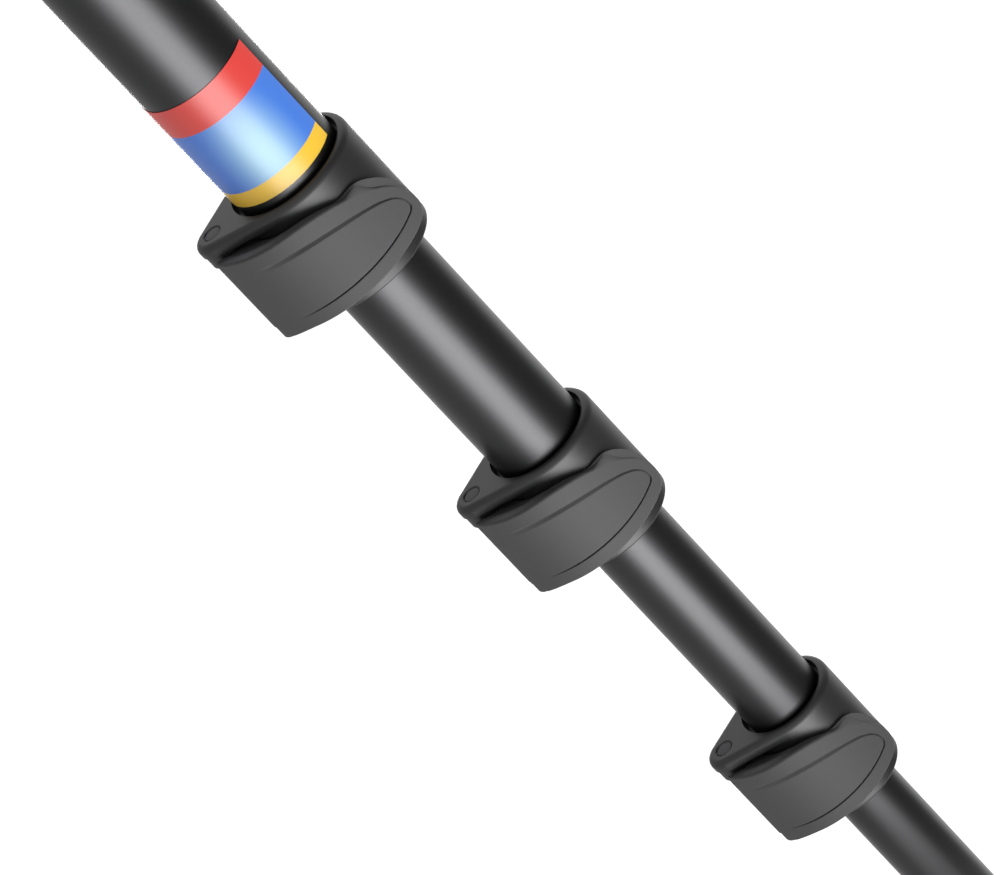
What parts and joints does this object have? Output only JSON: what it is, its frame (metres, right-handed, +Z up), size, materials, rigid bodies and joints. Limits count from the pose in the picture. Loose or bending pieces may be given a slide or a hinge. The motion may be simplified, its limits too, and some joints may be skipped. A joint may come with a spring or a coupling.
{
  "type": "camera monopod",
  "caption": "Telescoping camera monopod: nested round tubes with cam flip locks, foam grip, screw platform and rubber foot.",
  "frame": {"origin": "centre of the rubber foot's resting face, on the tube axis", "axes": "+Z up the tube to the camera screw, -Y the front that the levers wrap, -X the side of the lock pins"},
  "size_m": [0.0517, 0.045, 0.7815],
  "materials": {
    "anodised_tube": "satin black anodised",
    "black_plastic": "fine-grained charcoal moulding",
    "lever_plastic": "fine-grained charcoal moulding",
    "nylon": "natural nylon",
    "steel": "turned steel",
    "black_steel": "blackened steel",
    "painted_alloy": "satin black paint",
    "pad_rubber": "matt rubber",
    "foot_rubber": "matt rubber",
    "grip_foam": "closed-cell foam",
    "label_film": "printed film in red, blue and yellow bands"
  },
  "bodies": {
    "upper_section": {"camera_screw": "steel", "platform_pad": "pad_rubber", "camera_platform": "painted_alloy", "platform_screws": "steel", "platform_grub_screw": "black_steel", "head_plug": "black_plastic", "foam_grip": "grip_foam", "tube_1": "anodised_tube", "label": "label_film", "collar_1": "black_plastic", "pin_1": "black_steel", "liner_1": "nylon"},
    "lever_1": {"lever_1": "lever_plastic"},
    "brake_1": {"brake_shoe_1": "nylon"},
    "slider_2": {"top_bush_2": "nylon"},
    "section_2": {"tube_2": "anodised_tube", "collar_2": "black_plastic", "pin_2": "black_steel", "liner_2": "nylon"},
    "lever_2": {"lever_2": "lever_plastic"},
    "brake_2": {"brake_shoe_2": "nylon"},
    "slider_3": {"top_bush_3": "nylon"},
    "section_3": {"tube_3": "anodised_tube", "collar_3": "black_plastic", "pin_3": "black_steel", "liner_3": "nylon"},
    "lever_3": {"lever_3": "lever_plastic"},
    "brake_3": {"brake_shoe_3": "nylon"},
    "slider_4": {"top_bush_4": "nylon"},
    "section_4": {"tube_4": "anodised_tube", "foot_plug": "black_plastic", "foot_stud": "steel", "rubber_foot": "foot_rubber"}
  },
  "joints": [
    {"name": "section_2_slide", "type": "slide", "parent": "upper_section", "child": "slider_2", "axis": [0, 0, -1], "range_m": [-0.0664, 0.2887]},
    {"name": "section_2_twist", "type": "hinge", "parent": "slider_2", "child": "section_2", "pos_m": [0, 0, 0.6442], "axis": [0, 0, 1], "continuous": true},
    {"name": "section_3_slide", "type": "slide", "parent": "section_2", "child": "slider_3", "axis": [0, 0, -1], "range_m": [-0.0708, 0.2843]},
    {"name": "section_3_twist", "type": "hinge", "parent": "slider_3", "child": "section_3", "pos_m": [0, 0, 0.539], "axis": [0, 0, 1], "continuous": true},
    {"name": "section_4_slide", "type": "slide", "parent": "section_3", "child": "slider_4", "axis": [0, 0, -1], "range_m": [-0.07, 0.2785]},
    {"name": "section_4_twist", "type": "hinge", "parent": "slider_4", "child": "section_4", "pos_m": [0, 0, 0.428], "axis": [0, 0, 1], "continuous": true},
    {"name": "lever_1_hinge", "type": "hinge", "parent": "upper_section", "child": "lever_1", "pos_m": [-0.0237, 0, 0.3304], "axis": [0, 0, -1], "range_deg": [0, 120]},
    {"name": "brake_1_slide", "type": "slide", "parent": "upper_section", "child": "brake_1", "axis": [-1, 0, 0], "range_m": [0, 0.0005]},
    {"name": "lever_2_hinge", "type": "hinge", "parent": "section_2", "child": "lever_2", "pos_m": [-0.0217, 0, 0.2296], "axis": [0, 0, -1], "range_deg": [0, 120]},
    {"name": "brake_2_slide", "type": "slide", "parent": "section_2", "child": "brake_2", "axis": [-1, 0, 0], "range_m": [0, 0.0005]},
    {"name": "lever_3_hinge", "type": "hinge", "parent": "section_3", "child": "lever_3", "pos_m": [-0.0197, 0, 0.1244], "axis": [0, 0, -1], "range_deg": [0, 120]},
    {"name": "brake_3_slide", "type": "slide", "parent": "section_3", "child": "brake_3", "axis": [-1, 0, 0], "range_m": [0, 0.0005]}
  ],
  "couplings": [
    {"joint": "brake_1_slide", "follows": "lever_1_hinge", "m_per_rad": 0.000238},
    {"joint": "brake_2_slide", "follows": "lever_2_hinge", "m_per_rad": 0.000238},
    {"joint": "brake_3_slide", "follows": "lever_3_hinge", "m_per_rad": 0.000238}
  ]
}
